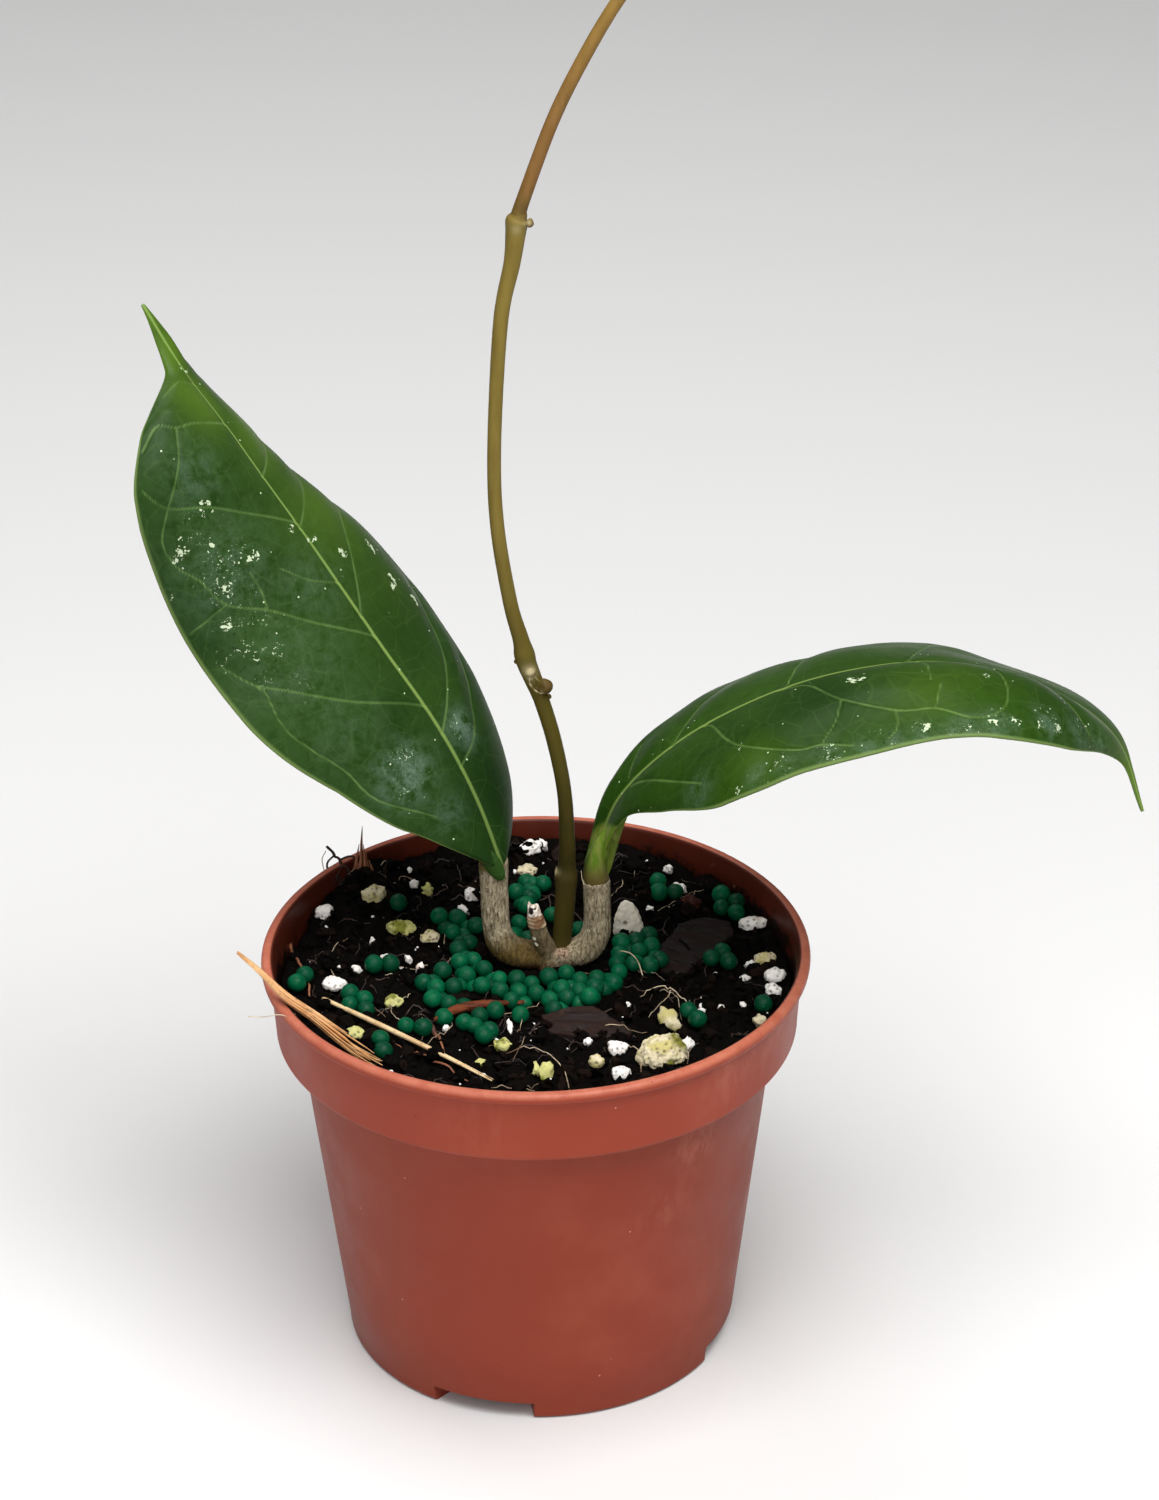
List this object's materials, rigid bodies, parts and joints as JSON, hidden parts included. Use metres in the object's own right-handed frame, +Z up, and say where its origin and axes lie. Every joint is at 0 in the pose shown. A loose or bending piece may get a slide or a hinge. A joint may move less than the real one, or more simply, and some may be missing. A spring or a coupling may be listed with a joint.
{
  "type": "potted hoya verticillata",
  "caption": "Young wax plant with thick glossy leaves on a corky old cutting and a long upright vine, in a round tapered plastic nursery pot filled with chunky potting mix.",
  "frame": {"origin": "centre of the underside of the pot's floor, on the surface that the pot stands on", "axes": "+Z up along the pot's axis; -Y is the front, where the leaves' upper sides face; +X is the right of that view, where the wider leaf reaches"},
  "size_m": [0.2136, 0.1199, 0.3375],
  "materials": {
    "pot_plastic": "terracotta-coloured moulded plastic, satin, dusty and lightly scuffed",
    "potting_mix": "dark moist peat and bark crumbs with fine roots",
    "corky_stem": "grey-brown corky bark, matte, finely ribbed",
    "leaf_green": "dark green waxy leaf, glossy, with pale veins",
    "vine": "olive-brown smooth young stem, satin",
    "pellet": "green coated feed prill, satin",
    "perlite": "white expanded perlite, matte and pitted",
    "perlite_cream": "cream stained perlite, matte and pitted",
    "perlite_algae": "perlite with a green film of algae, matte",
    "perlite_grey": "grey stained perlite, matte and pitted",
    "bark": "dark brown orchid bark, matte and fibrous",
    "bark_red": "red-brown orchid bark, matte and fibrous",
    "straw": "dry golden straw, satin"
  },
  "bodies": {
    "root": {"pot": "pot_plastic", "potting_mix": "potting_mix", "old_cutting": "corky_stem", "new_vine": "vine", "leaf_left": "leaf_green", "leaf_right": "leaf_green", "pellet_heap": "pellet", "pellets_behind_stem": "pellet", "pellets_back_left": "pellet", "pellets_right_rear": "pellet", "pellets_right_far": "pellet", "pellets_right": "pellet", "pellets_right_edge": "pellet", "pellets_front_right": "pellet", "pellets_left": "pellet", "pellets_left_rear": "pellet", "pellets_left_edge": "pellet", "pellets_front_left": "pellet", "pellets_front": "pellet", "pellets_front_rim": "pellet", "pellets_near_front": "pellet", "perlite_left_rim": "perlite", "perlite_left_rear": "perlite_cream", "perlite_left_slab": "perlite_algae", "perlite_left_small": "perlite_cream", "perlite_rear_pink": "perlite", "perlite_rear_white": "perlite", "perlite_rear_cream": "perlite_cream", "perlite_pointed": "perlite_grey", "perlite_right_rear": "perlite", "perlite_right_cream": "perlite_cream", "perlite_right_rim": "perlite", "perlite_right_low": "perlite", "perlite_left": "perlite", "perlite_left_green": "perlite_algae", "perlite_front_left": "perlite_algae", "perlite_front_green": "perlite_algae", "perlite_front_small": "perlite_cream", "perlite_front_white": "perlite", "perlite_front_pink": "perlite", "perlite_front_large": "perlite_cream", "bark_large": "bark_red", "bark_small": "bark_red", "bark_front": "bark", "bark_rear": "bark", "straw_bundle": "straw", "straw_light": "straw", "bark_sliver": "bark_red"}
  },
  "joints": []
}
